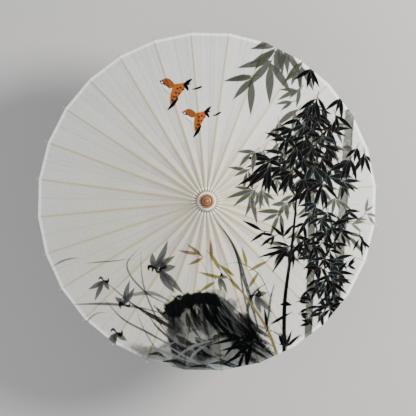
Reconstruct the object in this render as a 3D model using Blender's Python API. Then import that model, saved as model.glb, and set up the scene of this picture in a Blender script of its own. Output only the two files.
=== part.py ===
"""An oil paper umbrella, open, as the working parts that it comes apart into.

Metres, +Z up. The origin is the centre of the handle's end face, and the shaft stands along +Z.
Each long rib turns on a pivot in the head block, and a stretcher joins its middle to the runner.
Both links of that pair are equally long and both rings of pivots have one radius, so the runner
moves straight down the shaft while the ribs fold.
"""

from math import cos, pi, radians, sin

import bmesh
import bpy
from mathutils import Matrix

# The umbrella's driving dimensions
RIB_COUNT = 28
RIM_RADIUS = 0.410  # the paper's edge at a rib
TIP_PAST_RIM = 0.006  # how far a rib's end shows beyond the paper
SLOPE = radians(22)  # of an open rib, below the horizontal
LINK = 0.200  # rib pivot to middle joint, and middle joint to runner pivot
PIVOT_RADIUS = 0.015  # of the ring of pivots in the head, and of the one in the runner
HEAD_HEIGHT = 0.525  # the head's ring of pivots, above the handle's end
SHAFT_RADIUS = 0.008
GRIP_TOP = 0.086
FIXED_GAP = 0.00015  # between the shaft and the head block that is pegged to it
SLIDING_GAP = 0.0004  # between the shaft and the runner

# Slots, and the tongues that turn in them
SLOT_WIDTH = 0.0019
TONGUE_WIDTH = 0.0014
SLOT_FLOOR_RADIUS = 0.012
RIB_SLOT_DEPTH = 0.0041

# Rib and stretcher sections, measured square to the line through a link's pivots
RIB_BACK = 0.004  # the side that the paper is glued to
RIB_FACE = -0.0015  # the side towards the shaft when closed
RIB_WIDEST = 0.0040
STRETCHER_WIDTH = 0.0029
PAPER_GAP = 0.0003
PAPER_THICKNESS = 0.0005

# What follows from them
RUNNER_HEIGHT = HEAD_HEIGHT - 2 * LINK * sin(SLOPE)
RIB_LENGTH = (RIM_RADIUS + TIP_PAST_RIM - PIVOT_RADIUS) / cos(SLOPE)
SEGMENTS = 2 * RIB_COUNT


def clear_scene():
    for thing in list(bpy.data.objects):
        bpy.data.objects.remove(thing)


def make_material(name, colour, roughness):
    material = bpy.data.materials.new(name)
    material.use_nodes = True
    shader = material.node_tree.nodes["Principled BSDF"]
    shader.inputs["Base Color"].default_value = (*colour, 1.0)
    shader.inputs["Roughness"].default_value = roughness
    shader.inputs["Metallic"].default_value = 0.0
    return material


def azimuth(index):
    """Where a rib points. Two ribs straddle each main axis, as none lies straight up."""
    return (index + 0.5) * 2 * pi / RIB_COUNT


def finish_mesh(bm, name):
    bmesh.ops.remove_doubles(bm, verts=bm.verts, dist=1e-6)
    bmesh.ops.recalc_face_normals(bm, faces=bm.faces)
    mesh = bpy.data.meshes.new(name)
    bm.to_mesh(mesh)
    bm.free()
    return mesh


def add_object(name, mesh, material=None):
    thing = bpy.data.objects.new(name, mesh)
    if material:
        mesh.materials.append(material)
    bpy.context.scene.collection.objects.link(thing)
    return thing


def turned(name, outline_mm, material, height=0.0):
    """A piece turned on a lathe from an outline of (radius, height) points in millimetres."""
    bm = bmesh.new()
    points = [bm.verts.new((r / 1000, 0, z / 1000)) for r, z in outline_mm]
    edges = [bm.edges.new(pair) for pair in zip(points, points[1:])]
    if outline_mm[0][0] > 0:
        edges.append(bm.edges.new((points[-1], points[0])))
    bmesh.ops.spin(
        bm, geom=points + edges, cent=(0, 0, 0), axis=(0, 0, 1), angle=2 * pi, steps=SEGMENTS
    )
    piece = add_object(name, finish_mesh(bm, name), material)
    piece.location.z = height
    return piece


def bar(stations):
    """A four-sided bar along +X through (x, low, high, width) stations, and its underside faces."""
    bm = bmesh.new()
    rings = []
    for x, low, high, width in stations:
        corners = ((-width / 2, low), (width / 2, low), (width / 2, high), (-width / 2, high))
        rings.append([bm.verts.new((x, y, z)) for y, z in corners])
    undersides = []
    for near, far in zip(rings, rings[1:]):
        for side in range(4):
            turn = (side + 1) % 4
            face = bm.faces.new((near[side], near[turn], far[turn], far[side]))
            if side == 0:
                undersides.append(face)
    bm.faces.new(rings[0])
    bm.faces.new(rings[-1])
    bmesh.ops.recalc_face_normals(bm, faces=bm.faces)
    return bm, undersides


def sink_slot(bm, face, depth):
    """A slot in the middle of an underside face, with equal walls round it."""
    wall = (RIB_WIDEST - SLOT_WIDTH) / 2
    bmesh.ops.inset_individual(bm, faces=[face], thickness=wall)
    bmesh.ops.inset_individual(bm, faces=[face], thickness=0, depth=-depth)


def rib_mesh():
    """A long rib along +X from its pivot at x = 0, with the paper's side towards +Z."""
    slot_start = LINK - 0.0105
    slot_end = LINK + 0.0395
    bm, undersides = bar(
        [
            (-0.0024, -0.0006, 0.0008, TONGUE_WIDTH),
            (-0.0016, RIB_FACE, 0.0017, TONGUE_WIDTH),
            (0.0115, RIB_FACE, 0.0026, TONGUE_WIDTH),
            (0.0170, RIB_FACE, RIB_BACK, 0.0028),
            (0.1200, RIB_FACE, RIB_BACK, 0.0037),
            (slot_start, RIB_FACE, RIB_BACK, RIB_WIDEST),
            (slot_end, RIB_FACE, RIB_BACK, RIB_WIDEST),
            (0.3000, -0.0008, RIB_BACK, 0.0037),
            (RIB_LENGTH, 0.0013, RIB_BACK, 0.0030),
        ]
    )
    sink_slot(bm, undersides[5], RIB_SLOT_DEPTH)
    return finish_mesh(bm, "rib")


def stretcher_mesh():
    """A stretcher along +X from its joint in a rib at x = 0 to its pivot in the runner."""
    bm, _ = bar(
        [
            (-0.0022, -0.0008, 0.0008, TONGUE_WIDTH),
            (-0.0014, -0.0017, 0.0017, TONGUE_WIDTH),
            (0.0310, -0.0021, 0.0012, TONGUE_WIDTH),
            (0.0390, -0.0023, 0.0012, STRETCHER_WIDTH),
            (LINK - 0.0450, -0.0023, 0.0012, STRETCHER_WIDTH),
            (LINK - 0.0105, -0.0021, 0.0012, TONGUE_WIDTH),
            (LINK + 0.0014, -0.0017, 0.0017, TONGUE_WIDTH),
            (LINK + 0.0022, -0.0008, 0.0008, TONGUE_WIDTH),
        ]
    )
    return finish_mesh(bm, "stretcher")


def make_ribs(material):
    mesh = rib_mesh()
    for index in range(RIB_COUNT):
        turn = azimuth(index)
        rib = add_object(f"rib_{index + 1:02d}", mesh.copy(), material)
        rib.location = (PIVOT_RADIUS * cos(turn), PIVOT_RADIUS * sin(turn), HEAD_HEIGHT)
        rib.rotation_euler = (0, SLOPE, turn)


def make_stretchers(material):
    mesh = stretcher_mesh()
    joint_radius = PIVOT_RADIUS + LINK * cos(SLOPE)
    joint_height = HEAD_HEIGHT - LINK * sin(SLOPE)
    for index in range(RIB_COUNT):
        turn = azimuth(index)
        stretcher = add_object(f"stretcher_{index + 1:02d}", mesh.copy(), material)
        stretcher.location = (joint_radius * cos(turn), joint_radius * sin(turn), joint_height)
        stretcher.rotation_euler = (0, pi - SLOPE, turn)


def cut_slots(piece, pivot_height, low, high):
    """One slot for each rib through the flange, from low to high about its ring of pivots."""
    bm = bmesh.new()
    outer_radius = 0.030
    length = outer_radius - SLOT_FLOOR_RADIUS
    size = Matrix.Diagonal((length, SLOT_WIDTH, high - low, 1))
    shift = Matrix.Translation((SLOT_FLOOR_RADIUS + length / 2, 0, pivot_height + (low + high) / 2))
    for index in range(RIB_COUNT):
        turn = Matrix.Rotation(azimuth(index), 4, "Z")
        bmesh.ops.create_cube(bm, size=1, matrix=turn @ shift @ size)
    cutter = add_object(f"{piece.name}_slots", finish_mesh(bm, "slots"))
    cutter.hide_render = True
    cutter.display_type = "WIRE"
    cut = piece.modifiers.new("slots", "BOOLEAN")
    cut.operation = "DIFFERENCE"
    cut.solver = "EXACT"
    cut.object = cutter


def make_head_block(material):
    """The slotted head with its turned cap, bored from below for the shaft."""
    bore = 1000 * (SHAFT_RADIUS + FIXED_GAP)
    flange = [(0, 9), (bore, 9), (bore, -8), (21, -8), (22, -7), (22, 3), (18, 7), (15, 7.4)]
    base_ring = [(15, 8.4), (16.4, 9.8), (16.4, 12), (15.2, 14), (12.4, 14.6), (11.4, 13.2)]
    middle_ring = [(10.5, 14.6), (10.5, 18), (9.2, 20.4), (6.4, 21.4), (5.5, 20.2)]
    button = [(5, 21.4), (5, 24.4), (3.8, 26.6), (2, 27.4), (0, 27.6)]
    outline = flange + base_ring + middle_ring + button
    head = turned("head_block", outline, material, HEAD_HEIGHT)
    cut_slots(head, HEAD_HEIGHT, low=-0.020, high=0.0042)


def make_runner(material):
    """The slotted runner and its neck, bored through to slide on the shaft."""
    bore = 1000 * (SHAFT_RADIUS + SLIDING_GAP)
    neck = [(bore, -32), (11, -32), (12, -31), (12, -28), (10.8, -27), (10.8, -12)]
    flange = [(12.5, -9), (20.5, -7.5), (22, -6), (22, 4.8), (21, 6), (bore, 6)]
    runner = turned("runner", neck + flange, material, RUNNER_HEIGHT)
    cut_slots(runner, RUNNER_HEIGHT, low=-0.003, high=0.020)


def make_shaft(material):
    """The shaft and the grip turned in one piece with it. Its end face is the origin."""
    grip_mm = 1000 * GRIP_TOP
    pole = 1000 * SHAFT_RADIUS
    top = 1000 * HEAD_HEIGHT + 8.7
    knob = [(0, 0), (9.6, 0), (10.8, 1.4), (11.4, 6), (10.6, 10), (9.2, 12), (9.2, 13.2)]
    grip = [(10.4, 15), (10.9, 30), (10.4, grip_mm - 26), (9.6, grip_mm - 8), (9.6, grip_mm - 6)]
    shaft = [(8.8, grip_mm - 2), (pole, grip_mm), (pole, top - 1), (pole - 1, top), (0, top)]
    turned("shaft", knob + grip + shaft, material)


def canopy_point(radius, depth):
    """A (radius, height) on the slope that the paper follows, depth beyond the pivots' line."""
    along = (radius - PIVOT_RADIUS - depth * sin(SLOPE)) / cos(SLOPE)
    return radius, HEAD_HEIGHT - along * sin(SLOPE) + depth * cos(SLOPE)


def make_canopy(material):
    """The paper as a thin shell with flat panels between the ribs and a hole for the head."""
    inside = RIB_BACK + PAPER_GAP
    outside = inside + PAPER_THICKNESS
    hole_radius = 0.0245
    outline = [
        canopy_point(hole_radius, inside),
        canopy_point(RIM_RADIUS, inside),
        canopy_point(RIM_RADIUS, outside),
        canopy_point(hole_radius, outside),
    ]
    bm = bmesh.new()
    rings = []
    for index in range(RIB_COUNT):
        turn = azimuth(index)
        ring = [bm.verts.new((r * cos(turn), r * sin(turn), z)) for r, z in outline]
        rings.append(ring)
    for here, beyond in zip(rings, rings[1:] + rings[:1]):
        for side in range(4):
            turn = (side + 1) % 4
            bm.faces.new((here[side], here[turn], beyond[turn], beyond[side]))
    add_object("canopy", finish_mesh(bm, "canopy"), material)


def main():
    clear_scene()
    stained_wood = make_material("stained_wood", (0.45, 0.19, 0.06), 0.45)
    bamboo = make_material("bamboo", (0.75, 0.62, 0.38), 0.5)
    oiled_paper = make_material("oiled_paper", (0.78, 0.77, 0.74), 0.55)
    make_shaft(stained_wood)
    make_head_block(stained_wood)
    make_runner(stained_wood)
    make_ribs(bamboo)
    make_stretchers(bamboo)
    make_canopy(oiled_paper)


main()
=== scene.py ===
"""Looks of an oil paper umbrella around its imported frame: painted paper, bamboo, wood and thread.

Metres, +Z up, in the frame of the CAD part: the shaft stands on +Z and the origin is the
handle's end. The paper is made in half gores, from the middle of a rib to the crease beside it,
because the umbrella folds along both when it closes.
"""

from math import cos, pi, radians, sin

import bmesh
import bpy
import numpy as np
from mathutils import Matrix, Vector


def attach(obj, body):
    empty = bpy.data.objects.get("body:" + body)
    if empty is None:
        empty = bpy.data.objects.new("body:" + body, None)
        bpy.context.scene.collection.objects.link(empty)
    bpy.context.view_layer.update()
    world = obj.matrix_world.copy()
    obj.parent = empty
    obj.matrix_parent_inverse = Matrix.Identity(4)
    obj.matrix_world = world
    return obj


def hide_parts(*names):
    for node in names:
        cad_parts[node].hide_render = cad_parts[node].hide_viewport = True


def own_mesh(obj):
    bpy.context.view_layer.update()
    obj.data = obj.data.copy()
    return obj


# The part's own dimensions
RIB_COUNT = 28
RIM_RADIUS = 0.41
SLOPE = radians(22)
LINK = 0.2
PIVOT_RADIUS = 0.015
HEAD_HEIGHT = 0.525
RUNNER_HEIGHT = HEAD_HEIGHT - 2 * LINK * sin(SLOPE)
RUNNER_NECK = 0.032
RIB_BACK = 0.004
RIB_PLACES = (0.0115, 0.017, 0.12, 0.2, 0.3, 0.43)  # along a rib from its pivot
RIB_WIDTHS = (0.0014, 0.0028, 0.0037, 0.004, 0.0037, 0.003)
HALF_STEP = pi / RIB_COUNT  # from a rib to the crease beside it
CULM_JOINTS = 6.2  # joints of the bamboo in a metre of rib

# The cap's stained grooves: radius, half width and how dark
CAP_GROOVES = (
    (0.0114, 0.0016, 0.8),
    (0.0056, 0.0011, 0.7),
    (0.0164, 0.0012, 0.35),
    (0.0024, 0.0008, 0.3),
)

# The collar under the cap, its skirt and the stitches, as (radius, height over the pivots) in mm
COLLAR = (
    (15.3, 7.9), (16.2, 8.5), (18.2, 8.6), (19.8, 8.1), (20.7, 7.2),
    (20.9, 6.4), (20.5, 6.2), (20.0, 6.9), (18.2, 7.7), (16.2, 7.8),
)
SKIRT = (
    (17.5, 7.6), (19.5, 6.8), (21.0, 5.6), (22.5, 4.3), (24.0, 2.9), (25.6, 1.55),
    (25.4, 1.25), (23.8, 2.5), (22.3, 3.9), (20.8, 5.2), (19.3, 6.4), (17.4, 7.2),
)
STITCH = ((21.8, 4.4), (22.6, 4.3), (24.0, 2.9), (25.2, 1.7), (25.6, 0.9))
THREAD_SIDES = 8
ACROSS_THREADS = Vector((0.12, 0.33, 0.94))  # no thread runs this way

# The spring catch in the shaft, as (distance from the axis, height over its hold)
CATCH = (
    (0.0074, -0.04), (0.0086, -0.03), (0.0098, -0.014), (0.0108, -0.003),
    (0.0112, 0.0), (0.0104, 0.0), (0.0094, -0.004), (0.0074, -0.006),
)
CATCH_WIDTH = 0.0032

# The paper
PAPER_START = 0.0245
PAPER_THICKNESS = 0.0003
PAPER_CLEARANCE = 0.00005  # between a rib's back and the paper
PAPER_ROWS = 337
RIDGE_COLUMNS = (0.0, 0.0007, 0.0013, 0.0018, 0.0022, 0.0026, 0.0032)
PANEL_COLUMNS = 34
RIDGE_DROP = 0.00085  # how far the paper falls beside a rib
HEM_WIDTH = 0.0065
HEM_THICKNESS = 0.0003
SAG_RADII = (0.0245, 0.03, 0.045, 0.08, 0.14, 0.2, 0.3, 0.41)
SAG_DEPTHS = (0.0018, 0.0027, 0.0033, 0.0034, 0.0027, 0.0019, 0.0011, 0.0006)

# The painting, in a square of samples. Places on it are in canopy radii from the centre
PICTURE_TURN = radians(1.2)  # of the picture's upright, from +Y
CANVAS = 1400
REACH = 1.02
INK = (0.0015, 0.002, 0.0025)
DARK_GREEN = (0.004, 0.009, 0.01)
GREY_GREEN = (0.066, 0.074, 0.058)
PALE_GREEN = (0.1, 0.108, 0.082)
CULM_GREEN = (0.068, 0.077, 0.058)
SLATE = (0.05, 0.056, 0.062)
PETAL = (0.085, 0.09, 0.095)
FLANK = (0.075, 0.083, 0.085)
OLIVE = (0.24, 0.2, 0.065)
FEATHER = (0.5, 0.14, 0.032)
BROWN = (0.36, 0.105, 0.032)
PINK = (1.0, 0.88, 0.865)
AGED_AND_WARM_REFLECTION = (1.01, 0.965, 0.85)
BARE = (1.0, 1.0, 1.0)
WHITE = (1.35, 1.35, 1.33)

# The view
CAMERA_DISTANCE = 3.0  # over the canopy's rim
VIEW_WIDTH = 1.0058  # at the rim

rng = np.random.default_rng(28)


def shade(colour, share):
    """A colour made darker, or lighter where share is over 1."""
    return [channel * share for channel in colour]


def smooth(low, high, values):
    """0 below low, 1 above high, and an even turn between them."""
    share = np.clip((values - low) / (high - low), 0, 1)
    return share * share * (3 - 2 * share)


def between(cells, row, column, v, u):
    """Values v of the way from a row to the next, and u of the way from a column to the next."""
    near = cells[row, column] * (1 - u) + cells[row, column + 1] * u
    far = cells[row + 1, column] * (1 - u) + cells[row + 1, column + 1] * u
    return near * (1 - v) + far * v


def noise(count, seed):
    """Smooth noise from 0 to 1 all over the sheet, with that many cells along each side."""
    cells = np.random.default_rng(seed).random((count + 2, count + 2))
    places = np.linspace(0, count, CANVAS, endpoint=False)
    cell = places.astype(int)
    share = smooth(0, 1, places - cell)
    return between(cells, cell[:, None], cell, share[:, None], share)


def smooth_curve(points, count):
    """Evenly spaced points on a smooth curve through the given ones."""
    points = np.asarray(points, float)
    at = np.r_[0, np.cumsum(np.linalg.norm(np.diff(points, axis=0), axis=1))]
    tangent = np.gradient(points, at, axis=0)
    where = np.linspace(0, at[-1], count)
    here = np.clip(np.searchsorted(at, where, side="right") - 1, 0, len(at) - 2)
    span = (at[here + 1] - at[here])[:, None]
    t = (where - at[here])[:, None] / span
    ends = (2 * t**3 - 3 * t**2 + 1) * points[here] + (3 * t**2 - 2 * t**3) * points[here + 1]
    turns = (t**3 - 2 * t**2 + t) * tangent[here] + (t**3 - t**2) * tangent[here + 1]
    return ends + span * turns


# ---- painting

# Sprays of leaves: u, v, count, heading, spread in degrees, length
GREY_SPRAYS = (
    (0.42, 0.915, 5, -128, 48, 0.2),
    (0.38, 0.95, 1, -162, 0, 0.15),
    (0.47, 0.9, 3, -88, 26, 0.17),
    (0.54, 0.66, 4, -142, 46, 0.12),
    (0.56, 0.81, 3, -104, 40, 0.15),
    (0.37, 0.8, 4, -112, 52, 0.23),
    (0.27, 0.72, 3, -134, 40, 0.2),
    (0.25, 0.73, 1, 188, 0, 0.19),
    (0.53, 0.77, 3, -110, 30, 0.14),
    (0.5, 0.58, 2, -160, 16, 0.11),
    (0.52, 0.52, 2, -125, 24, 0.16),
)
FRONT_SPRAYS = (
    (0.62, 0.775, 4, -98, 42, 0.13),
    (0.645, 0.6, 5, -105, 50, 0.15),
    (0.8, 0.62, 3, -118, 34, 0.14),
    (0.76, 0.5, 3, -70, 34, 0.13),
    (0.49, 0.41, 3, -150, 34, 0.12),
    (0.36, 0.23, 5, -168, 36, 0.18),
    (0.35, 0.19, 4, -128, 34, 0.17),
    (0.67, 0.09, 5, -96, 52, 0.15),
    (0.58, 0.06, 4, -112, 40, 0.13),
    (0.93, 0.28, 4, -84, 44, 0.14),
    (0.88, 0.31, 3, -112, 34, 0.12),
    (0.84, 0.24, 4, -120, 50, 0.13),
)

# The same without the spread
SIDE_SPRAYS = (
    (0.26, 0.05, 4, -130, 0.16),
    (0.32, 0.06, 4, -85, 0.12),
    (0.27, 0.28, 3, -140, 0.13),
    (0.45, -0.01, 3, -130, 0.09),
)
LOW_SPRAYS = (
    (0.32, -0.17, 2, 174, 0.12),
    (0.38, -0.2, 3, 200, 0.1),
    (0.44, -0.2, 3, 100, 0.09),
    (0.47, -0.26, 4, 190, 0.14),
    (0.47, -0.27, 3, -122, 0.16),
    (0.5, -0.27, 3, -72, 0.14),
    (0.56, -0.22, 4, -100, 0.13),
    (0.62, -0.25, 3, -70, 0.12),
    (0.9, -0.21, 4, -84, 0.12),
    (0.83, -0.38, 3, 20, 0.07),
    (0.54, -0.58, 4, 20, 0.07),
    (0.6, -0.58, 3, 140, 0.07),
    (0.55, -0.66, 4, -10, 0.06),
    (0.61, -0.72, 3, 150, 0.06),
    (0.7, -0.62, 4, 160, 0.08),
    (0.47, -0.86, 4, 84, 0.12),
    (0.42, -0.78, 1, -28, 0.08),
    (0.6, -0.84, 4, 50, 0.09),
)
FOOT_SPRAYS = (
    (0.2, -0.8, 3, 190, 0.18),
    (0.26, -0.84, 5, 222, 0.17),
    (0.36, -0.74, 2, 62, 0.17),
    (0.3, -0.8, 4, 150, 0.1),
    (0.22, -0.88, 3, -118, 0.15),
)

# Single leaves: u, v, heading, length
SPRIG_LEAVES = (
    (-0.02, -0.32, 135, 0.12),
    (-0.04, -0.3, 175, 0.13),
    (-0.02, -0.32, -150, 0.1),
    (0.03, -0.34, 95, 0.13),
    (0.08, -0.4, 120, 0.14),
    (0.1, -0.44, 170, 0.16),
    (0.05, -0.46, -150, 0.12),
    (0.16, -0.43, 140, 0.12),
    (0.23, -0.38, 100, 0.13),
    (0.24, -0.4, 30, 0.14),
    (0.2, -0.52, 130, 0.12),
    (0.24, -0.5, 60, 0.12),
)

# Grass: points, width, colour, strength
BLADES = (
    (((-0.78, -0.606), (-0.55, -0.6), (-0.38, -0.62), (-0.22, -0.66)), 0.009, SLATE, 0.85),
    (((-0.2, -0.7), (-0.38, -0.63), (-0.55, -0.5), (-0.62, -0.44)), 0.006, INK, 0.8),
    (((-0.18, -0.86), (-0.34, -0.77), (-0.5, -0.68), (-0.6, -0.57)), 0.007, INK, 0.85),
    (((-0.22, -0.6), (-0.36, -0.52), (-0.46, -0.36), (-0.38, -0.26)), 0.006, SLATE, 0.85),
    (((-0.2, -0.82), (-0.3, -0.66), (-0.37, -0.46), (-0.38, -0.28)), 0.006, SLATE, 0.8),
    (((-0.26, -0.92), (-0.34, -0.8), (-0.4, -0.66), (-0.41, -0.6)), 0.004, SLATE, 0.75),
    (((-0.22, -0.57), (-0.32, -0.53), (-0.42, -0.54), (-0.53, -0.58)), 0.013, SLATE, 0.75),
    (((-0.7, -0.36), (-0.6, -0.35), (-0.5, -0.34), (-0.44, -0.33)), 0.004, SLATE, 0.85),
    (((-0.91, -0.385), (-0.86, -0.355), (-0.8, -0.335), (-0.74, -0.33)), 0.006, SLATE, 0.75),
    (((-0.72, -0.78), (-0.7, -0.7), (-0.64, -0.655), (-0.58, -0.65)), 0.005, SLATE, 0.75),
    (((-0.18, -0.75), (-0.28, -0.69), (-0.38, -0.63), (-0.44, -0.59)), 0.014, INK, 0.97),
    (((-0.2, -0.7), (-0.24, -0.67), (-0.28, -0.63), (-0.31, -0.6)), 0.012, INK, 0.95),
    (((-0.17, -0.84), (-0.24, -0.78), (-0.3, -0.72), (-0.34, -0.66)), 0.008, INK, 0.9),
    (((-0.02, -0.62), (0.0, -0.4), (-0.1, -0.26), (-0.16, -0.16)), 0.003, SLATE, 0.5),
)

# Bare twigs by the rock: points, width
STALKS = (
    (((0.035, -0.09), (0.14, -0.23), (0.22, -0.46), (0.3, -0.74)), 0.012),
    (((0.09, -0.14), (0.17, -0.3), (0.21, -0.52), (0.26, -0.72)), 0.006),
    (((0.36, -0.46), (0.28, -0.52), (0.24, -0.6), (0.26, -0.76)), 0.01),
    (((0.34, -0.8), (0.36, -0.66), (0.37, -0.56), (0.39, -0.48)), 0.007),
    (((0.05, -0.38), (0.17, -0.35), (0.28, -0.4), (0.38, -0.58)), 0.003),
)

# Orchids: u, v, size, heading
FLOWERS = (
    (-0.6, -0.46, 0.11, -118),
    (-0.48, -0.6, 0.12, 82),
    (-0.53, -0.77, 0.13, -108),
    (-0.27, -0.39, 0.16, -48),
    (-0.3, -0.38, 0.14, 50),
    (0.07, -0.43, 0.09, -60),
    (0.28, -0.54, 0.12, -50),
)

# Pale roots at the rock's foot: u, v, and how far they go each way
ROOTS = (
    (-0.38, -0.96, 0.2, 0.14),
    (-0.34, -0.85, 0.26, -0.1),
    (-0.24, -0.84, 0.28, -0.16),
    (-0.2, -0.93, 0.24, 0.12),
    (-0.3, -0.9, 0.16, -0.1),
    (-0.12, -0.96, 0.12, 0.12),
)

sheet = np.ones((CANVAS, CANVAS, 3))
GRAIN = noise(500, 3) * 0.5 + noise(180, 4) * 0.5
CLOUD = noise(34, 5) * 0.6 + noise(90, 6) * 0.4


def window(low, high, margin=0.012):
    """The slices of the sheet round a box, and the places of their samples."""
    step = 2 * REACH / (CANVAS - 1)
    first = np.clip(((np.array(low) - margin + REACH) / step).astype(int), 0, CANVAS - 1)
    last = np.clip(((np.array(high) + margin + REACH) / step).astype(int) + 1, 1, CANVAS)
    place = np.s_[first[1] : last[1], first[0] : last[0]]
    u = np.arange(first[0], last[0]) * step - REACH
    v = np.arange(first[1], last[1]) * step - REACH
    return place, u[None, :], v[:, None]


def lay(place, cover, colour):
    """Puts a colour on the sheet where cover is 1, and part of it where cover is less."""
    cover = cover[..., None]
    sheet[place] = sheet[place] * (1 - cover) + np.asarray(colour) * cover


def to_segment(u, v, start, end):
    """Distance of places from a line between two points, and how far along it they are nearest."""
    (au, av), (bu, bv) = start, end
    du, dv = bu - au, bv - av
    share = np.clip(((u - au) * du + (v - av) * dv) / (du * du + dv * dv + 1e-12), 0, 1)
    return np.hypot(u - au - share * du, v - av - share * dv), share


def stroke(points, radii, colour, strength=1.0, dry=0.0, soft=0.0025):
    """A brush stroke through the points, whose radius goes through radii at even steps along it."""
    length = np.linalg.norm(np.diff(points, axis=0), axis=1).sum()
    count = int(np.clip(length / 0.02, 8, 40))
    curve = smooth_curve(points, count)
    width = np.interp(np.linspace(0, 1, count), np.linspace(0, 1, len(radii)), radii)
    reach = max(radii) + soft
    place, u, v = window(curve.min(0) - reach, curve.max(0) + reach)
    if u.size < 2 or v.size < 2:
        return
    cover = np.zeros((v.shape[0], u.shape[1]))
    travel = np.zeros_like(cover)
    for k in range(count - 1):
        away, share = to_segment(u, v, curve[k], curve[k + 1])
        inside = np.clip((width[k] * (1 - share) + width[k + 1] * share - away) / soft + 0.5, 0, 1)
        travel = np.where(inside > cover, (k + share) / (count - 1), travel)
        cover = np.maximum(cover, inside)
    tone = 1 - dry * smooth(0.45, 0.75, GRAIN[place]) * smooth(0.2, 0.9, travel)
    lay(place, cover * strength * tone, colour)


def leaf(u, v, heading, length, width, colour, strength=1.0, bend=0.0, gap=0.0):
    """A pointed leaf along a heading in degrees, with a paler edge as wide as the gap round it."""
    turn = radians(heading)
    along = np.array([cos(turn), sin(turn)])
    across = np.array([-along[1], along[0]])
    share = np.linspace(0, 1, 5)
    curve = (u, v) + length * (np.outer(share, along) + bend * np.outer(share**2, across))
    shape = np.array([0.08, 0.55, 0.93, 1.0, 0.88, 0.64, 0.33, 0.0]) * width / 2
    if gap:
        stroke(curve, shape + gap, BARE, 1.5 * colour[1] ** 0.5)
    stroke(curve, shape, colour, strength)


def spray(u, v, count, heading, spread, length, width, colour, strength=1.0, gap=0.0):
    """A count of leaves from one twig at (u, v), spread in degrees on both sides of a heading."""
    turns = heading + spread * (np.linspace(-1, 1, count) + rng.normal(0, 0.12, count))
    way = radians(heading)
    twig = 0.2 * length * np.array([cos(way), sin(way)])
    stem = ((u - 1.6 * twig[0], v - 1.6 * twig[1]), (u + 0.3 * twig[0], v + 0.3 * twig[1]))
    stroke(stem, (0.0018, 0.0028), colour, strength)
    for turn in turns:
        size = rng.uniform(0.72, 1.15)
        start = (u, v) + twig * rng.uniform(-0.7, 0.7) + rng.normal(0, 0.003, 2)
        droop = -0.1 * cos(radians(turn)) + rng.normal(0, 0.04)
        leaf(*start, turn, length * size, width * size**0.6, colour, strength, droop, gap)


def thicket(top, bottom, low, high, count, colours, length, width, gap):
    """Sprays spread evenly on a band from top to bottom, whose half width goes from low to high."""
    for k in range(count):
        share = (k + rng.random()) / count
        half = low + (high - low) * share
        lean = 2 * ((0.37 + 0.618034 * k) % 1) - 1
        u = top[0] + (bottom[0] - top[0]) * share + half * lean
        v = top[1] + (bottom[1] - top[1]) * share
        tone = colours[rng.integers(len(colours))]
        heading = -90 + 44 * lean + rng.normal(0, 14)
        size = rng.uniform(0.8, 1.15)
        leaves = rng.integers(3, 6)
        spray(u, v, leaves, heading, 17 * leaves - 12, length * size, width * size**0.5, tone, gap=gap)


def culm(points, width, colour, strength, nodes):
    """A bamboo stem, in joints with a darker ring between them."""
    curve = smooth_curve(points, nodes + 1)
    for low, high in zip(curve, curve[1:]):
        way = (high - low) / np.linalg.norm(high - low)
        gap = 0.01 * way
        ends = (low + gap, (low + high) / 2, high - gap)
        stroke(ends, (width * 0.53, width * 0.47, width * 0.53), colour, strength, dry=0.3, soft=0.004)
        aside = np.array([-way[1], way[0]]) * width * 0.36
        edge = [np.array(end) + aside for end in ends]
        dark = shade(colour, 0.4)
        stroke(edge, (width * 0.1, width * 0.07, width * 0.1), dark, 0.5 * strength, soft=0.007)
        ring = (low - 1.7 * aside, low + (0, 0.006), low + 1.7 * aside)
        stroke(ring, (width * 0.03, width * 0.1, width * 0.03), dark, 0.9 * strength)


def beyond(u, v, corners):
    """Distance outside a closed outline, less than zero inside it."""
    away = np.full(np.broadcast(u, v).shape, 9.0)
    inside = np.zeros(away.shape, bool)
    for start, end in zip(corners, np.roll(corners, -1, 0)):
        away = np.minimum(away, to_segment(u, v, start, end)[0])
        (au, av), (bu, bv) = start, end
        crosses = ((av > v) != (bv > v)) & (u < (bu - au) * (v - av) / (bv - av + 1e-12) + au)
        inside ^= crosses
    return np.where(inside, -away, away)


def patch(corners, colour, strength=1.0, soft=0.0015, rough=0.0):
    """A closed outline filled with one colour."""
    corners = np.asarray(corners, float)
    place, u, v = window(corners.min(0), corners.max(0), 0.012 + rough)
    uneven = rough * (0.7 * CLOUD[place] + 0.3 * GRAIN[place] - 0.5)
    cover = 1 - smooth(-soft, soft, beyond(u, v, corners) + uneven)
    lay(place, cover * strength, colour)


def wash(u, v, radius_u, radius_v, colour, strength):
    """A soft cloud of thin ink."""
    reach = 1.3 * np.array((radius_u, radius_v))
    place, x, y = window((u, v) - reach, (u, v) + reach)
    edge = np.hypot((x - u) / radius_u, (y - v) / radius_v) + 0.7 * (CLOUD[place] - 0.5)
    cover = (1 - smooth(0.55, 1.0, edge)) * (0.55 + 0.45 * smooth(0.3, 0.7, CLOUD[place]))
    lay(place, cover * strength, colour)


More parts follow.
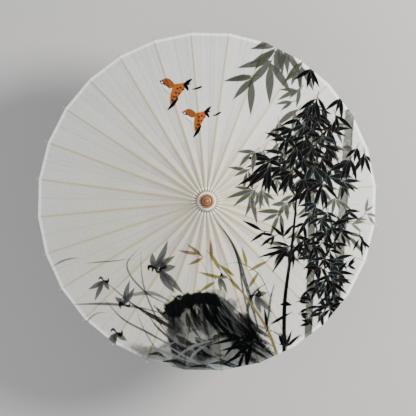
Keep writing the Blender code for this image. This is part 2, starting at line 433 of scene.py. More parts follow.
def sparrow(u, v, size, lift):
    """A small brown bird in flight, seen from the side, with both wings behind it."""
    turn = radians(lift)

    def at(places):
        """Places on the bird, from its beak in bird sizes, as places on the sheet."""
        x, y = np.transpose(places)
        du, dv = x * cos(turn) - y * sin(turn), x * sin(turn) + y * cos(turn)
        return np.transpose((u + size * du, v + size * dv))

    def mark(places, radii, colour, strength=1.0):
        """A stroke on the bird."""
        stroke(at(places), np.array(radii) * size, colour, strength, soft=0.0018)

    breast = ((0.12, -0.22), (0.5, -0.4), (0.82, -0.42), (0.66, -0.86), (0.36, -0.62))
    patch(at(breast), WHITE)
    mark(((0.14, -0.34), (0.34, -0.62), (0.58, -0.82)), (0.01, 0.03, 0.01), INK, 0.7)
    wings = (
        (0.8, -0.22), (1.48, -0.14), (1.5, -0.46), (1.22, -0.84),
        (1.02, -1.14), (0.6, -1.44), (0.62, -0.96), (0.7, -0.56),
    )
    patch(at(wings), FEATHER)
    mark(((0.14, -0.03), (0.42, -0.1), (0.62, -0.26)), (0.09, 0.25, 0.23), BROWN)
    mark(((0.0, 0.0), (0.13, -0.14), (0.26, -0.22)), (0.03, 0.1, 0.04), INK)
    mark(((0.11, -0.11), (0.14, -0.13)), (0.045, 0.04), WHITE)
    mark(((1.5, -0.22), (1.68, -0.08), (1.86, 0.06)), (0.1, 0.11, 0.05), INK)
    mark(((1.5, -0.24), (1.66, -0.24), (1.82, -0.22)), (0.08, 0.06, 0.02), INK)
    mark(((1.5, -0.28), (1.58, -0.42), (1.66, -0.58)), (0.1, 0.1, 0.06), INK)
    mark(((1.06, -1.12), (0.82, -1.42), (0.5, -1.78)), (0.05, 0.13, 0.04), INK)
    mark(((1.94, -0.56), (2.2, -0.5), (2.44, -0.4)), (0.03, 0.07, 0.06), INK)
    spots = (
        (1.02, -0.5), (1.2, -0.44), (1.36, -0.56), (0.94, -0.76),
        (1.14, -0.78), (0.84, -1.0), (0.98, -1.02), (0.74, -1.2),
    )
    for x, y in spots:
        mark(((x, y), (x + 0.04, y - 0.02)), (0.05, 0.045), INK, 0.95)


def flower(u, v, size, heading):
    """An orchid: three long grey petals, darker at the base, and dark curled marks at its heart."""
    for turn, long in ((-24, 1.0), (2, 1.25), (58, 0.6)):
        leaf(u, v, heading + turn, long * size, 0.27 * size, PETAL, 0.9, rng.normal(0, 0.12))
        leaf(u, v, heading + turn, 0.55 * long * size, 0.16 * size, INK, 0.45, 0.05)
    for side in (-1, 1, 1):
        turn = radians(heading + 90 * side + rng.normal(0, 25))
        du, dv = 0.24 * size * cos(turn), 0.24 * size * sin(turn)
        curl = ((u, v), (u + du, v + dv), (u + du - 0.5 * dv, v + dv + 0.5 * du))
        stroke(curl, np.array((0.02, 0.07, 0.03)) * size, INK, 0.95)


def streaks(count, low, high, lean, lengths, widths, colour, strength, dry):
    """Dry brush marks that run down and to the right from places inside a box."""
    for _ in range(count):
        x, y = rng.uniform(low[0], high[0]), rng.uniform(low[1], high[1])
        long = rng.uniform(*lengths)
        slant = rng.normal(*lean)
        path = ((x, y), (x + 0.35 * slant * long, y - 0.5 * long), (x + slant * long, y - 0.95 * long))
        width = rng.uniform(*widths)
        taper = (0.3 * width, width, 0.8 * width, 0.001)
        stroke(path, taper, colour, strength * rng.uniform(0.7, 1.0), dry)


def rock():
    """A steep rock at the rim: a black crown, mottled grey flanks, and roots at its foot."""
    body = (
        (-0.245, -0.6), (-0.205, -0.565), (-0.09, -0.54), (0.03, -0.53), (0.12, -0.57),
        (0.19, -0.65), (0.28, -0.76), (0.36, -0.87), (0.45, -0.95), (0.36, -1.02),
        (-0.22, -1.02), (-0.2, -0.93), (-0.22, -0.84), (-0.235, -0.74),
    )
    patch(body, FLANK, 0.9, soft=0.014, rough=0.06)
    for u, v in ((0.06, -0.545), (0.13, -0.6), (0.2, -0.69), (0.26, -0.77)):
        wash(u, v, 0.085, 0.055, (0.06, 0.067, 0.072), 0.8)
    for _ in range(30):
        place = rng.uniform((-0.2, -0.98), (0.22, -0.68))
        tone = rng.choice((0.012, 0.06, 0.28))
        wash(*place, 0.055, 0.04, (tone, 1.06 * tone, 1.04 * tone), 0.65)
    wash(-0.06, -0.81, 0.085, 0.07, (0.46, 0.48, 0.45), 0.75)
    wash(-0.19, -0.72, 0.06, 0.09, INK, 0.8)
    wash(-0.15, -0.89, 0.07, 0.045, INK, 0.7)
    wash(0.09, -0.98, 0.16, 0.06, (0.42, 0.47, 0.5), 0.8)
    foot = (
        (-0.43, -0.865), (-0.33, -0.845), (-0.22, -0.83), (-0.06, -0.9),
        (0.06, -1.02), (-0.24, -1.02), (-0.37, -0.95),
    )
    patch(foot, (0.05, 0.056, 0.06), 0.66, soft=0.022, rough=0.1)
    crown = (
        (-0.25, -0.6), (-0.2, -0.562), (-0.1, -0.535), (-0.01, -0.522),
        (0.06, -0.548), (0.075, -0.59), (0.0, -0.595), (-0.07, -0.605),
        (-0.12, -0.63), (-0.155, -0.67), (-0.22, -0.68), (-0.25, -0.65),
    )
    patch(crown, INK, 0.98, soft=0.009, rough=0.07)
    streaks(30, (-0.22, -0.66), (0.06, -0.57), (0.35, 0.3), (0.05, 0.19), (0.005, 0.015), INK, 0.9, 0.7)
    streaks(18, (-0.04, -0.62), (0.12, -0.55), (0.85, 0.18), (0.12, 0.36), (0.006, 0.015), INK, 0.92, 0.8)
    streaks(18, (0.1, -0.78), (0.24, -0.64), (0.9, 0.2), (0.12, 0.3), (0.006, 0.017), INK, 0.95, 0.6)
    streaks(10, (-0.04, -0.76), (0.18, -0.6), (0.8, 0.2), (0.04, 0.14), (0.004, 0.009), FLANK, 0.5, 0.8)
    streaks(24, (-0.24, -0.95), (0.1, -0.76), (1.6, 0.7), (0.02, 0.06), (0.009, 0.022), INK, 0.9, 0.5)
    wash(0.09, -0.85, 0.085, 0.07, (0.26, 0.28, 0.27), 0.75)
    for x, y, dx, dy in ROOTS:
        root = ((x, y), (x + dx * 0.5, y + dy * 0.6 + 0.01), (x + dx, y + dy))
        stroke(root, (0.002, 0.01, 0.002), (0.22, 0.24, 0.25), 0.9, 0.5)
    for x, y, dx in (
        (-0.26, -0.945, 0.14),
        (-0.1, -0.975, 0.16),
        (0.02, -0.955, 0.12),
        (-0.34, -0.9, 0.1),
    ):
        path = ((x, y), (x + dx * 0.5, y + 0.006), (x + dx, y - 0.02))
        stroke(path, (0.003, 0.012, 0.002), INK, 0.9, 0.6)


def paint_petals():
    """A faint ring of scalloped pink round the hub, on paper yellowed there, and warmer below and to the
    left by a painted warm reflection.
    """
    place, u, v = window((-1, -1), (1, 1))
    turn, out = np.arctan2(v, u), np.hypot(u, v)
    # Yellowed paper round the hub, and a painted warm reflection spreading down and to the left
    lay(place, 1 - smooth(0.35, 1.0, np.hypot(u + 0.15, v + 0.25)), AGED_AND_WARM_REFLECTION)
    lobe = 0.33 + 0.035 * np.abs(np.sin(4 * turn + 0.4))
    petal = smooth(0.1, 0.33, out) * (1 - smooth(-0.01, 0.006, out - lobe))
    lay(place, petal * (0.55 + 0.45 * CLOUD[place]), PINK)


def paint_bamboo():
    """Two thick stems, a thin dark one and the leaves, on the right half."""
    for row in GREY_SPRAYS:
        spray(*row, 0.21 * row[-1], GREY_GREEN, 0.957)
    culm(((0.595, 0.52), (0.6, 0.1), (0.605, -0.35), (0.595, -0.9)), 0.046, CULM_GREEN, 0.93, 7)
    culm(((0.845, 0.53), (0.805, 0.1), (0.775, -0.35), (0.74, -0.78)), 0.056, CULM_GREEN, 0.85, 6)
    dark = (INK, INK, DARK_GREEN)
    thicket((0.44, 0.46), (0.32, 0.06), 0.08, 0.16, 9, (PALE_GREEN,), 0.125, 0.024, 0.0015)
    thicket((0.62, 0.5), (0.64, -0.3), 0.12, 0.26, 20, (PALE_GREEN,), 0.12, 0.024, 0.0015)
    thicket((0.62, 0.57), (0.57, 0.09), 0.03, 0.29, 32, dark, 0.115, 0.025, 0.0014)
    thicket((0.6, 0.36), (0.54, 0.11), 0.08, 0.2, 11, dark, 0.13, 0.029, 0.0014)
    for row in FRONT_SPRAYS:
        spray(*row, 0.026, INK, 1.0, 0.0015)
    for u, v, count, heading, length in SIDE_SPRAYS:
        spray(u, v, count, heading, 44, length, 0.027, GREY_GREEN, 0.957, 0.0015)
    thicket((0.67, -0.02), (0.7, -0.5), 0.15, 0.06, 28, dark, 0.105, 0.023, 0.0014)
    thicket((0.73, -0.42), (0.7, -0.7), 0.05, 0.05, 10, dark, 0.1, 0.022, 0.0014)
    stem = ((0.52, 0.1), (0.512, -0.02), (0.485, -0.3), (0.455, -0.56), (0.455, -0.9))
    stroke(stem, (0.005, 0.008, 0.01, 0.0125, 0.011), INK, 1.0)
    for v in (-0.31, -0.6, -0.84):
        stroke(((0.43, v), (0.462, v + 0.004), (0.49, v - 0.004)), (0.004, 0.015, 0.005), INK)
    for u, v, count, heading, length in LOW_SPRAYS:
        spray(u, v, count, heading, 38, length, 0.02, INK, 1.0, 0.0012)
    for u, v, heading in (
        (0.88, -0.11, 20),
        (0.93, -0.07, 60),
        (0.95, -0.08, -30),
        (0.84, -0.13, -10),
    ):
        spray(u, v, 2, heading, 20, 0.08, 0.018, PALE_GREEN, 0.9)


def paint_orchids():
    """Grass leaves and grey flowers on the left of the rock."""
    for points, width, colour, strength in BLADES:
        taper = np.array((0.25, 1.0, 0.8, 0.1)) * width
        stroke(points, taper, colour, strength, 0.3)
    for points, width in STALKS:
        taper = np.array((0.0, 0.4, 0.9, 1.0, 0.8, 0.3)) * width
        stroke(points, taper, (0.028, 0.034, 0.038), 0.92, 0.25)
    for row in FLOWERS:
        flower(*row)


def paint_gold_sprigs():
    """A thin olive stem that leans over the rock, and its leaves."""
    stem = ((0.0, -0.28), (0.12, -0.42), (0.26, -0.6), (0.36, -0.76), (0.42, -0.92))
    stroke(stem, (0.002, 0.004, 0.006, 0.008, 0.009), OLIVE)
    for u, v, heading, length in SPRIG_LEAVES:
        leaf(u, v, heading, length, 0.021, OLIVE, 0.97, rng.normal(0, 0.06))


def paint():
    """The whole picture, from the back to the front."""
    paint_petals()
    wash(-0.42, -0.9, 0.2, 0.08, SLATE, 0.45)
    wash(0.28, -0.64, 0.12, 0.18, SLATE, 0.5)
    paint_orchids()
    rock()
    paint_gold_sprigs()
    paint_bamboo()
    for u, v, count, heading, length in FOOT_SPRAYS:
        spray(u, v, count, heading, 34, length, 0.021, INK)
    sparrow(-0.272, 0.703, 0.098, 0)
    sparrow(-0.14, 0.515, 0.088, 8)


def painted(x, y):
    """The picture's colour at places on the canopy, in metres."""
    u = (x * cos(PICTURE_TURN) + y * sin(PICTURE_TURN)) / RIM_RADIUS
    v = (y * cos(PICTURE_TURN) - x * sin(PICTURE_TURN)) / RIM_RADIUS
    place = (np.array((v, u)) + REACH) / (2 * REACH) * (CANVAS - 1)
    cell = np.clip(place.astype(int), 0, CANVAS - 2)
    share = np.clip(place - cell, 0, 1)[..., None]
    return between(sheet, *cell, *share)


# ---- materials


def new_material(name):
    """A material whose shader is still to be fed."""
    material = bpy.data.materials.new(name)
    material.use_nodes = True
    return material


def feed(socket, value):
    """Links an input to another node's output, or sets it to a constant."""
    if isinstance(value, bpy.types.NodeSocket):
        socket.id_data.links.new(value, socket)
    elif socket.type == "RGBA":
        socket.default_value = (*value, 1)
    else:
        socket.default_value = value


def finish(material, colour, roughness, *others):
    """Feeds a material's shader, with others as (input, socket or constant), and returns it."""
    shader = material.node_tree.nodes["Principled BSDF"]
    for place, value in (("Base Color", colour), ("Roughness", roughness), *others):
        feed(shader.inputs[place], value)
    return material


def add(kind, *inputs, **settings):
    """The outputs of a new shader node, in the tree of the nodes that feed it."""
    tree = next(value.id_data for _, value in inputs if isinstance(value, bpy.types.NodeSocket))
    made = tree.nodes.new("ShaderNode" + kind)
    for name, value in settings.items():
        setattr(made, name, value)
    for place, value in inputs:
        feed(made.inputs[place], value)
    return made.outputs


def mix(factor, one, other, blend="MIX"):
    """A mix of two colours."""
    inputs = ((0, factor), (6, one), (7, other))
    return add("Mix", *inputs, data_type="RGBA", blend_type=blend)[2]


def math(operation, *values):
    """An operation on numbers."""
    return add("Math", *enumerate(values), operation=operation)[0]


def span(value, low, high, to_low=0.0, to_high=1.0):
    """A value's range, mapped to another and held inside it."""
    return add("MapRange", (0, value), (1, low), (2, high), (3, to_low), (4, to_high))[0]


def tinge(colour, value, low, high, most, other):
    """A colour with another over it, from none where a value is low to the most where it is high."""
    return mix(span(value, low, high, 0, most), colour, other)


def object_place(material):
    """The place on the object, in metres."""
    return material.node_tree.nodes.new("ShaderNodeTexCoord").outputs["Object"]


def grain(vector, scale, detail=3, roughness=0.6):
    """Noise from 0 to 1 along a vector."""
    inputs = (("Vector", vector), ("Scale", scale), ("Detail", detail), ("Roughness", roughness))
    return add("TexNoise", *inputs)[0]


def stretched(vector, scale):
    """A vector with each axis scaled, which stretches a pattern along the axes with small scales."""
    return add("Mapping", ("Vector", vector), ("Scale", scale))[0]


def polar(place):
    """A place's turn about the shaft, its distance from it and its height."""
    x, y, z = add("SeparateXYZ", (0, place))
    turn = math("ARCTAN2", y, x)
    square = math("ADD", math("MULTIPLY", x, x), math("MULTIPLY", y, y))
    return turn, math("SQRT", square), z


def marked(material, name, output="Fac"):
    """What the paper's points carry under a name."""
    made = material.node_tree.nodes.new("ShaderNodeAttribute")
    made.attribute_name = name
    return made.outputs[output]


def relief(height, strength, depth):
    """The shader's normal on a surface with bumps that deep."""
    inputs = (("Height", height), ("Strength", strength), ("Distance", depth))
    return "Normal", add("Bump", *inputs)[0]


def canopy_marks(material, place, colour):
    """The canopy's paper: ribs seen through it with painted shade, a paler hem, a painted highlight on
    the ridges by the hub, painted shade in the creases, and the painting.
    """
    patchy = span(grain(place, 60), 0.3, 0.7, 0.75, 1)
    # Bamboo seen through the paper over each rib, in a colour darkened as painted shade of the ridge and
    # of light from behind
    rib_tint_and_shade = math("MULTIPLY", marked(material, "rib_tint_and_shade"), patchy)
    # The hem mark also carries the painted highlight on the ridges by the hub
    hem = math("MULTIPLY", marked(material, "hem"), 0.9)
    # Painted shade along the creases
    crease = math("MULTIPLY", marked(material, "crease"), 0.35)
    colour = mix(rib_tint_and_shade, colour, (0.56, 0.49, 0.31))
    colour = mix(hem, colour, (0.93, 0.94, 0.915))
    colour = mix(crease, colour, (0.41, 0.39, 0.34))
    return mix(1.0, colour, marked(material, "ink", "Color"), "MULTIPLY")


def paper_material(name, tint=None):
    """Oiled mulberry paper: long fibres and uneven tone. Without a tint it is the canopy's."""
    material = new_material(name)
    place = object_place(material)
    clouds = grain(place, 9)
    fibres = grain(stretched(place, (1, 0.28, 1)), 520, 4, 0.7)
    hairs = grain(stretched(place, (0.25, 1, 1)), 300, 5, 0.8)
    mottle = grain(place, 210, 4, 0.75)
    colour = mix(span(clouds, 0.35, 0.65), (0.61, 0.607, 0.573), (0.675, 0.675, 0.645))
    colour = tinge(colour, mottle, 0.38, 0.62, 0.65, (0.51, 0.505, 0.475))
    colour = tinge(colour, fibres, 0.4, 0.66, 0.45, (0.65, 0.65, 0.63))
    colour = tinge(colour, hairs, 0.6, 0.72, 0.25, (0.45, 0.43, 0.385))
    if tint:
        colour = mix(0.8, colour, tint)
        colour = tinge(colour, hairs, 0.45, 0.72, 0.4, shade(tint, 0.7))
    else:
        colour = canopy_marks(material, place, colour)
    lumps = math("ADD", math("MULTIPLY", mottle, 2.0), math("MULTIPLY", hairs, 0.6))
    normal = relief(math("ADD", fibres, lumps), 0.45, 0.0003)
    roughness = span(fibres, 0.3, 0.7, 0.58, 0.74)
    return finish(material, colour, roughness, normal, ("Specular IOR Level", 0.03))


def bamboo_material(name, pale, deep):
    """Split bamboo: fibres along the strip, flecks, and a darker band at each joint of the culm."""
    material = new_material(name)
    place = object_place(material)
    turn, out, height = polar(place)
    around = add("CombineXYZ", (0, turn), (1, out), (2, height))[0]
    fibre = grain(stretched(around, (60, 3, 9)), 14, 4, 0.65)
    fleck = grain(stretched(around, (120, 25, 60)), 9, 2)
    blotch = grain(place, 26, 2)
    joint = math("FRACT", math("MULTIPLY", out, CULM_JOINTS))
    band = math("ABSOLUTE", math("SUBTRACT", joint, 0.55))
    colour = mix(span(fibre, 0.3, 0.7), deep, pale)
    colour = tinge(colour, blotch, 0.35, 0.7, 0.5, shade(pale, 1.12))
    colour = tinge(colour, fleck, 0.63, 0.72, 0.6, shade(deep, 0.45))
    colour = mix(span(band, 0.0, 0.012, 0.55, 0.0), colour, shade(deep, 0.5))
    roughness = span(fibre, 0.3, 0.7, 0.5, 0.36)
    return finish(material, colour, roughness, relief(fibre, 0.3, 0.0003))


def turned_wood(name, pale, deep, ring_pitch, grooves=()):
    """Stained wood from a lathe: grain along the axis, fine tool rings, and stain left in grooves."""
    material = new_material(name)
    place = object_place(material)
    _, out, height = polar(place)
    figure = grain(stretched(place, (1, 1, 0.06)), 150, 5, 0.6)
    swirl = grain(stretched(place, (1, 1, 0.25)), 42)
    pores = grain(stretched(place, (1, 1, 0.05)), 900, 2)
    along = math("ADD", height, out)
    rings = math("SINE", math("MULTIPLY", along, 2 * pi / ring_pitch))
    colour = mix(span(figure, 0.3, 0.7), deep, pale)
    colour = tinge(colour, swirl, 0.4, 0.7, 0.6, shade(pale, 0.66))
    colour = tinge(colour, pores, 0.62, 0.7, 0.5, shade(deep, 0.4))
    colour = tinge(colour, rings, 0.2, 1.0, 0.16, shade(deep, 0.6))
    for radius, half, dark in grooves:
        away = math("ABSOLUTE", math("SUBTRACT", out, radius))
        colour = mix(span(away, 0.3 * half, half, dark, 0.0), colour, shade(deep, 0.35))
    normal = relief(math("ADD", math("MULTIPLY", rings, 0.1), pores), 0.25, 0.0002)
    roughness = span(figure, 0.3, 0.7, 0.36, 0.5)
    varnish = (("Coat Weight", 0.25), ("Coat Roughness", 0.25))
    return finish(material, colour, roughness, normal, *varnish)


def thread_material(name, tone):
    """Twisted cotton: fine slanting plies and loose fibres."""
    material = new_material(name)
    place = object_place(material)
    inputs = (("Vector", place), ("Scale", 420.0), ("Distortion", 1.5))
    plies = add("TexWave", *inputs, bands_direction="DIAGONAL")["Fac"]
    fuzz = grain(place, 1500)
    colour = mix(span(plies, 0.2, 0.8), shade(tone, 0.55), tone)
    colour = tinge(colour, fuzz, 0.4, 0.7, 0.4, shade(tone, 1.2))
    return finish(material, colour, 0.85, relief(plies, 0.5, 0.0002))


def metal_material(name):
    """Brass wire, dulled, with fine scratches along it."""
    material = new_material(name)
    place = object_place(material)
    dull = grain(place, 220, 4)
    scratch = grain(stretched(place, (1, 1, 0.04)), 900)
    colour = mix(span(dull, 0.35, 0.7), (0.6, 0.42, 0.17), (0.33, 0.22, 0.1))
    roughness = span(scratch, 0.3, 0.7, 0.28, 0.5)
    return finish(material, colour, roughness, relief(scratch, 0.2, 0.0001), ("Metallic", 1.0))


# ---- pieces


def azimuth(index):
    """The turn of a rib about the shaft."""
    return (index + 0.5) * 2 * pi / RIB_COUNT


def numbered(kind, index, letter=""):
    """The name of a piece or a body. They count from 01."""
    return f"{kind}_{index + 1:02d}{letter}"


def rib_frame(index):
    """Unit vectors at a rib: out from the shaft, sideways, along the rib and off its back."""
    turn = azimuth(index)
    out = Vector((cos(turn), sin(turn), 0))
    aside = Vector((-sin(turn), cos(turn), 0))
    along = out * cos(SLOPE) - Vector((0, 0, sin(SLOPE)))
    off = out * sin(SLOPE) + Vector((0, 0, cos(SLOPE)))
    return out, aside, along, off


def slope_height(radius, depth):
    """Height of the surface that lies depth beyond the line through the pivots."""
    along = (radius - PIVOT_RADIUS - depth * sin(SLOPE)) / cos(SLOPE)
    return HEAD_HEIGHT - along * sin(SLOPE) + depth * cos(SLOPE)


def paper_grid(phase):
    """Radius, side offset, under and upper height of a half gore's points, and its marks there."""
    radius = np.linspace(PAPER_START, RIM_RADIUS, PAPER_ROWS)[:, None]
    edge = radius * sin(HALF_STEP) * cos(HALF_STEP)
    scale = np.minimum(1, 0.55 * edge / RIDGE_COLUMNS[-1])
    ridge = np.array(RIDGE_COLUMNS) * scale
    panel = ridge[:, -1:] + (edge - ridge[:, -1:]) * np.linspace(0, 1, PANEL_COLUMNS + 1)[1:]
    side = np.hstack([ridge, panel])
    share = side / edge

    along = (radius - PIVOT_RADIUS) / cos(SLOPE)
    rib_half = np.minimum(np.interp(along, RIB_PLACES, RIB_WIDTHS) / 2, 0.42 * edge)
    beside = smooth(0, 0.001, side - rib_half)
    across = np.clip((side - rib_half) / (edge - rib_half), 0, 1)

    sag = np.interp(radius, SAG_RADII, SAG_DEPTHS)
    sharp = np.interp(radius, (0.03, 0.16), (1.0, 0.45))
    dip = sag * (sharp * across + (1 - sharp) * (1 - (1 - across) ** 2))
    notch = 0.0003 * np.exp(-(edge - side) / 0.0016) * np.minimum(1, edge / 0.008)
    fade = np.sin(pi * across) ** 0.7
    ripple = 0
    for k in range(1, 6):
        turn = 2 * pi * (1.15 * k * across + phase[k]) + 1.6 * np.sin(7 * k * radius + 9 * phase[-k])
        ripple += 0.0065 * edge / k * np.sin(turn)
    fall = RIDGE_DROP * scale * beside + dip + notch + ripple * fade

    hem = smooth(RIM_RADIUS - HEM_WIDTH - 0.0012, RIM_RADIUS - HEM_WIDTH, radius)
    # Painted highlight on the ridges where the paper starts by the hub, kept in the hem mark
    tip_highlight = (1 - smooth(0.028, 0.036, radius)) * (1 - 0.85 * across)
    back = slope_height(radius, RIB_BACK + PAPER_CLEARANCE)
    under = back - fall / cos(SLOPE) - HEM_THICKNESS * hem * beside
    thicker = 0.5 * HEM_THICKNESS * hem + HEM_THICKNESS * hem * beside
    out = radius * (1 - share * sin(HALF_STEP) ** 2)
    # Where the bamboo shows through over a rib, in a colour that is also painted shade
    rib_tint_and_shade = (1 - smooth(-0.0002, 0.0012, side - rib_half)) * smooth(0.03, 0.06, radius)
    # Painted shade along the crease, stronger near the hub
    crease = np.exp(-(edge - side) / 0.0011) * (1 - 0.6 * smooth(0.1, 0.3, radius))
    marks = {"rib_tint_and_shade": rib_tint_and_shade, "hem": np.maximum(hem, tip_highlight), "crease": crease}
    return out, side, under, under + (PAPER_THICKNESS + thicker) / cos(SLOPE), marks


def paper_faces(rows, columns):
    """A closed sheet's faces, and if each is smooth. Its underside has half the points of its top."""
    top = np.arange(rows * columns).reshape(rows, columns)
    low_rows, low_columns = rows // 2 + 1, columns // 2 + 1
    low = top.size + np.arange(low_rows * low_columns).reshape(low_rows, low_columns)

    def quads(grid):
        """The faces of one side."""
        corners = (grid[:-1, :-1], grid[1:, :-1], grid[1:, 1:], grid[:-1, 1:])
        return np.stack(corners, -1).reshape(-1, 4)

    def edge(above, below):
        """The faces of one edge: two steps above for each step below."""
        return np.stack([above[:-2:2], above[1:-1:2], above[2::2], below[1:], below[:-1]], -1)

    sides = np.vstack([quads(top), quads(low)[:, ::-1]])
    walls = np.vstack([
        edge(top[0], low[0]),
        edge(top[-1], low[-1])[:, ::-1],
        edge(top[:, 0], low[:, 0])[:, ::-1],
        edge(top[:, -1], low[:, -1]),
    ])
    flags = [True] * len(sides) + [False] * len(walls)
    return sides.tolist() + walls.tolist(), flags


def link_object(name, data):
    """A new object in the scene for a mesh, a light or a camera."""
    made = bpy.data.objects.new(name, data)
    bpy.context.scene.collection.objects.link(made)
    return made


def half_gore(name, index, side, faces, flags, material):
    """The paper from the middle of a rib to the crease on one side of it."""
    out_way, aside, _, _ = np.array(rib_frame(index))
    phase = np.random.default_rng(100 + 2 * index + (side > 0)).random(8)
    out, offset, under, upper, marks = paper_grid(phase)

    def points(height, pick):
        """The picked points of the grid, at their heights."""
        flat = out[pick][..., None] * out_way + side * offset[pick][..., None] * aside
        flat[..., 2] = height[pick]
        return flat.reshape(-1, 3)

    every, second = np.s_[:, :], np.s_[::2, ::2]
    verts = np.vstack([points(upper, every), points(under, second)])
    mesh = bpy.data.meshes.new(name)
    mesh.from_pydata(verts.tolist(), [], [face[::side] for face in faces])
    mesh.polygons.foreach_set("use_smooth", flags)
    for label, grid in marks.items():
        values = np.r_[grid[every].ravel(), grid[second].ravel()].astype(np.float32)
        mesh.attributes.new(label, "FLOAT", "POINT").data.foreach_set("value", values)
    ink = np.c_[painted(verts[:, 0], verts[:, 1]), np.ones(len(verts))].astype(np.float32)
    mesh.attributes.new("ink", "FLOAT_COLOR", "POINT").data.foreach_set("color", ink.ravel())
    mesh.materials.append(material)
    return link_object(name, mesh)


def fold_away(piece, index):
    """Makes a piece of paper ride on its rib, with a mesh of its own, so it moves with the rib as the
    umbrella closes.
    """
    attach(piece, numbered("rib", index))
    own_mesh(piece)


def make_paper(material):
    """The canopy: a half gore on each side of each rib."""
    faces, flags = paper_faces(PAPER_ROWS, len(RIDGE_COLUMNS) + PANEL_COLUMNS)
    for index in range(RIB_COUNT):
        for side, letter in ((1, "a"), (-1, "b")):
            name = numbered("gore", index, letter)
            piece = half_gore(name, index, side, faces, flags, material)
            fold_away(piece, index)
            if index == 0 and side > 0:
                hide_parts("canopy")


def add_piece(name, bm, material):
    """A smooth piece from a bmesh."""
    for face in bm.faces:
        face.smooth = True
    mesh = bpy.data.meshes.new(name)
    bm.to_mesh(mesh)
    bm.free()
    mesh.materials.append(material)
    return link_object(name, mesh)


def skin(bm, near, far):
    """Faces between two rings of points."""
    for corners in zip(near, near[1:] + near[:1], far[1:] + far[:1], far):
        bm.faces.new(corners)


def tube(name, paths, radius, material):
    """Round threads along paths of points, as one mesh, with one radius or one for each point."""
    bm = bmesh.new()
    for path in paths:
        path = [Vector(point) for point in path]
        sizes = np.broadcast_to(radius, len(path)).tolist()
        rings = []
        for before, point, after, size in zip(path[:1] + path, path, path[1:] + path[-1:], sizes):
            way = (after - before).normalized()
            first = way.cross(ACROSS_THREADS).normalized()
            second = way.cross(first)
            turns = [2 * pi * side / THREAD_SIDES for side in range(THREAD_SIDES)]
            places = [point + size * (first * cos(turn) + second * sin(turn)) for turn in turns]
            rings.append([bm.verts.new(place) for place in places])
        for near, far in zip(rings, rings[1:]):
            skin(bm, near, far)
        bm.faces.new(rings[0])
        bm.faces.new(rings[-1])
    bmesh.ops.recalc_face_normals(bm, faces=bm.faces)
    return add_piece(name, bm, material)


def lathe(name, profile, material, steps, wave=None):
    """A ring turned from a closed (radius, height) profile. wave gives the height to add."""
    bm = bmesh.new()
    rings = []
    for k in range(steps):
        turn = 2 * pi * k / steps
        ring = []
        for r, z in profile:
            lift = wave(r, turn) if wave else 0
            ring.append(bm.verts.new((r * cos(turn), r * sin(turn), z + lift)))
        rings.append(ring)
    for near, far in zip(rings, rings[1:] + rings[:1]):
        skin(bm, near, far)
    bmesh.ops.recalc_face_normals(bm, faces=bm.faces)
    return add_piece(name, bm, material)


def pleat(radius, turn):
    """The collar's skirt follows the pleats: high on a rib, low between two ribs."""
    depth = 0.0011 * float(smooth(0.0195, 0.0245, np.float64(radius)))
    return depth * (0.5 * cos(RIB_COUNT * turn - pi) - 0.5)


def make_collar(white, tan, thread):
    """The pasted paper collar under the cap, its pleated skirt, and the stitches through it."""
    for name, outline, paper, wave in (
        ("collar", COLLAR, white, None),
        ("collar_skirt", SKIRT, tan, pleat),
    ):
        profile = [(r / 1000, HEAD_HEIGHT + z / 1000) for r, z in outline]
        piece = lathe(name, profile, paper, RIB_COUNT * 12, wave)
        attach(piece, "shaft_and_head")
    # Dark brown stitches in the valleys between the pleats: thread, whose dark colour is also painted
    # shade in those valleys
    paths = []
    for index in range(RIB_COUNT):
        turn = azimuth(index) + HALF_STEP
        path = []
        for millimetres, lift in STITCH:
            r = millimetres / 1000
            path.append((r * cos(turn), r * sin(turn), HEAD_HEIGHT + lift / 1000 + pleat(r, turn)))
        paths.append(path)
    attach(tube("collar_stitches", paths, 0.0009, thread), "shaft_and_head")


def make_gore_stitches(material):
    """The outer half of each stitch, in the crease of the paper."""
    edge = sin(HALF_STEP) * cos(HALF_STEP)
    # The stitches' dark colour is also painted shade in the crease
    arch = ((0.0258, 0.0001), (0.0266, 0.0006), (0.028, 0.0007), (0.0294, 0.0006), (0.0302, 0.0))
    for index in range(RIB_COUNT):
        out, aside, _, _ = rib_frame(index)
        path = []
        for radius, lift in arch:
            sag = float(np.interp(radius, SAG_RADII, SAG_DEPTHS))
            height = slope_height(radius, RIB_BACK) - sag / cos(SLOPE) + lift
            side = radius * edge - 0.0006
            point = out * (radius * cos(HALF_STEP) ** 2) + aside * side
            path.append((point.x, point.y, height))
        piece = tube(numbered("stitch", index), [path], 0.0008, material)
        fold_away(piece, index)


def make_joint_threads(material):
    """The thread that runs round through all the middle joints and spaces the ribs."""
    radius = PIVOT_RADIUS + LINK * cos(SLOPE)
    height = HEAD_HEIGHT - LINK * sin(SLOPE)
    for index in range(RIB_COUNT):
        out, aside, _, off = rib_frame(index)
        path = []
        for share in np.linspace(-1, 1, 13):
            side = share * radius * sin(HALF_STEP) * cos(HALF_STEP)
            at = out * radius * (1 - abs(share) * sin(HALF_STEP) ** 2) + aside * side
            path.append((at.x, at.y, height - 0.0012 * abs(share)))
        thread = tube(numbered("spacer", index), [path], 0.0004, material)
        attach(thread, numbered("rib", index))
        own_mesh(thread)
        centre = out * radius + Vector((0, 0, height))
        knots = []
        for side in (1, -1):
            start = centre + aside * side * 0.0018 - off * 0.0005
            knots.append([start + aside * side * out_by for out_by in (0, 0.0002, 0.0005, 0.0007)])
        knot = tube(numbered("knot", index), knots, (0.0004, 0.0007, 0.0007, 0.0003), material)
        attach(knot, numbered("rib", index))


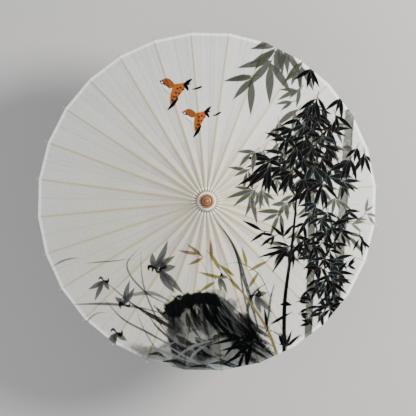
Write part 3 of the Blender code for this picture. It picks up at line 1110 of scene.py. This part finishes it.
def make_catch(material):
    """The spring catch that holds the runner up: a bent strip let into the shaft."""
    hold = RUNNER_HEIGHT - RUNNER_NECK - 0.0006
    edges = (-CATCH_WIDTH / 2, CATCH_WIDTH / 2)
    bm = bmesh.new()
    sides = [[bm.verts.new((x, y, hold + z)) for x, z in CATCH] for y in edges]
    skin(bm, *sides)
    for side in sides:
        bm.faces.new(side)
    bmesh.ops.recalc_face_normals(bm, faces=bm.faces)
    bmesh.ops.bevel(bm, geom=bm.edges, offset=0.0003, segments=2, affect="EDGES")
    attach(add_piece("catch", bm, material), "shaft_and_head")


def dress_frame(wood, cap_wood, bamboo, stretcher_bamboo):
    """Materials and softened edges for the CAD nodes that show."""
    finishes = {"head_block": cap_wood, "rib": bamboo, "stretcher": stretcher_bamboo}
    for name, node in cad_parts.items():
        if name == "canopy":
            continue
        kind = name.rstrip("_0123456789")
        node.data.materials.clear()
        node.data.materials.append(finishes.get(kind, wood))
        for polygon in node.data.polygons:
            polygon.use_smooth = True
        weld = node.modifiers.new("weld", "WELD")
        weld.merge_threshold = 0.00001
        bevel = node.modifiers.new("bevel", "BEVEL")
        bevel.width = 0.0002 if kind == "stretcher" else 0.0003
        bevel.segments = 2
        bevel.limit_method = "ANGLE"
        bevel.angle_limit = radians(24)
        bevel.harden_normals = True


# ---- stage


def area_light(name, place, size, power, colour):
    """A round soft light that faces the middle of the canopy."""
    light = bpy.data.lights.new(name, "AREA")
    light.shape = "DISK"
    light.size = size
    light.energy = power
    light.color = colour
    lamp = link_object(name, light)
    lamp.location = place
    lamp.rotation_euler = (Vector((0, 0, 0.4)) - Vector(place)).to_track_quat("-Z", "Y").to_euler()


def make_stage():
    """A pale floor and soft studio lights."""
    bm = bmesh.new()
    bmesh.ops.create_grid(bm, x_segments=1, y_segments=1, size=6)
    floor = add_piece("floor", bm, finish(new_material("floor"), (0.5, 0.49, 0.48), 0.9))

    world = bpy.data.worlds.new("studio")
    bpy.context.scene.world = world
    world.use_nodes = True
    background = world.node_tree.nodes["Background"]
    background.inputs["Color"].default_value = (0.93, 0.95, 1.0, 1)
    background.inputs["Strength"].default_value = 0.49
    area_light("key", (2.1, 0.7, 2.3), 0.9, 152, (1.0, 0.985, 0.95))
    area_light("fill", (-1.6, -0.7, 2.2), 2.0, 26, (0.95, 0.97, 1.0))


def make_camera():
    """A camera that looks down along the shaft."""
    lens = bpy.data.cameras.new("camera")
    lens.lens = lens.sensor_width * CAMERA_DISTANCE / VIEW_WIDTH
    camera = link_object("camera", lens)
    height = slope_height(RIM_RADIUS, RIB_BACK) + CAMERA_DISTANCE
    roll = Matrix.Rotation(PICTURE_TURN, 4, "Z")
    camera.matrix_world = roll @ Matrix.Translation((0.0029, -0.0157, height))
    bpy.context.scene.camera = camera


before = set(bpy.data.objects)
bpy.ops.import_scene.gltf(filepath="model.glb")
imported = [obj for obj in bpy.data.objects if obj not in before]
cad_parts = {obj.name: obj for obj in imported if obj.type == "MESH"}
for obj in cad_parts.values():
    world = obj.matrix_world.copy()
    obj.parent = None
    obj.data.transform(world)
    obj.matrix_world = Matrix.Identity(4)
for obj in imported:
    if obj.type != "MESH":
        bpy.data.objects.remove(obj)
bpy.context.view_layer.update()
paint()
make_stage()
make_camera()
painted_paper = paper_material("painted_paper")
white_paper = paper_material("collar_paper", (0.86, 0.865, 0.85))
tan_paper = paper_material("skirt_paper", (0.56, 0.43, 0.3))
brown_thread = thread_material("brown_thread", (0.26, 0.135, 0.075))
pale_thread = thread_material("pale_thread", (0.55, 0.43, 0.26))
wood = turned_wood("stained_wood", (0.42, 0.19, 0.07), (0.2, 0.075, 0.028), 0.0021)
cap_wood = turned_wood("cap_wood", (0.42, 0.175, 0.062), (0.22, 0.085, 0.03), 0.0017, CAP_GROOVES)
bamboo = bamboo_material("bamboo", (0.68, 0.53, 0.28), (0.5, 0.36, 0.16))
stretcher_bamboo = bamboo_material("stretcher_bamboo", (0.64, 0.48, 0.25), (0.44, 0.3, 0.13))
brass = metal_material("brass")
dress_frame(wood, cap_wood, bamboo, stretcher_bamboo)
make_paper(painted_paper)
make_collar(white_paper, tan_paper, brown_thread)
make_gore_stitches(brown_thread)
make_joint_threads(pale_thread)
make_catch(brass)
